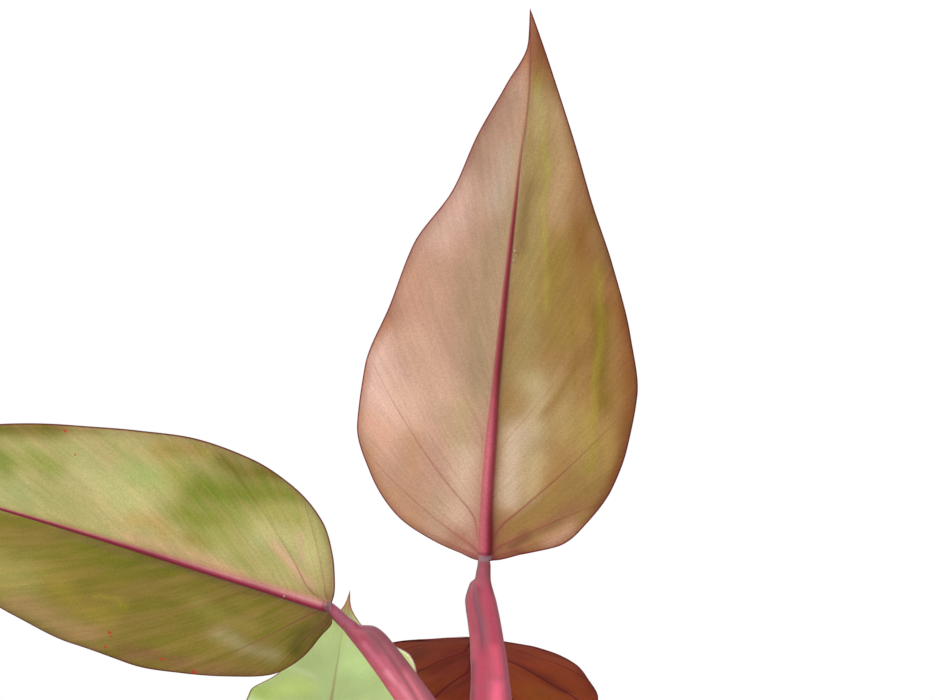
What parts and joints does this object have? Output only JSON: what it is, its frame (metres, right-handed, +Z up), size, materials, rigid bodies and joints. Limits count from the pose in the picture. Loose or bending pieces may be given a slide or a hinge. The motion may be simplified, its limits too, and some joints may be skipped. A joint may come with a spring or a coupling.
{
  "type": "potted strawberry shake philodendron",
  "caption": "Potted foliage plant with broad pointed leaves on winged pink stalks round a short stem, in a plain tapered terracotta pot.",
  "frame": {"origin": "middle of the flat underside of the pot's foot", "axes": "+Z up along the stem, +X to the viewer's right in the picture, +Y away from the viewer"},
  "size_m": [0.5429, 0.5006, 0.5457],
  "materials": {
    "terracotta": "matte",
    "bark_soil": "matte",
    "stem_skin": "satin",
    "rolled_leaf": "satin",
    "leaf_stalk": "satin",
    "leaf_bronze": "satin",
    "leaf_red": "satin",
    "leaf_olive": "satin",
    "leaf_green": "satin",
    "leaf_lime": "satin",
    "leaf_deep_green": "satin",
    "leaf_mottled": "satin"
  },
  "bodies": {
    "root": {"pot": "terracotta", "soil": "bark_soil", "stem": "stem_skin", "new_leaf": "rolled_leaf", "petiole_1": "leaf_stalk", "blade_1": "leaf_bronze", "petiole_2": "leaf_stalk", "blade_2": "leaf_red", "petiole_3": "leaf_stalk", "blade_3": "leaf_olive", "petiole_4": "leaf_stalk", "blade_4": "leaf_green", "petiole_5": "leaf_stalk", "blade_5": "leaf_lime", "petiole_6": "leaf_stalk", "blade_6": "leaf_deep_green", "petiole_7": "leaf_stalk", "blade_7": "leaf_mottled"}
  },
  "joints": []
}
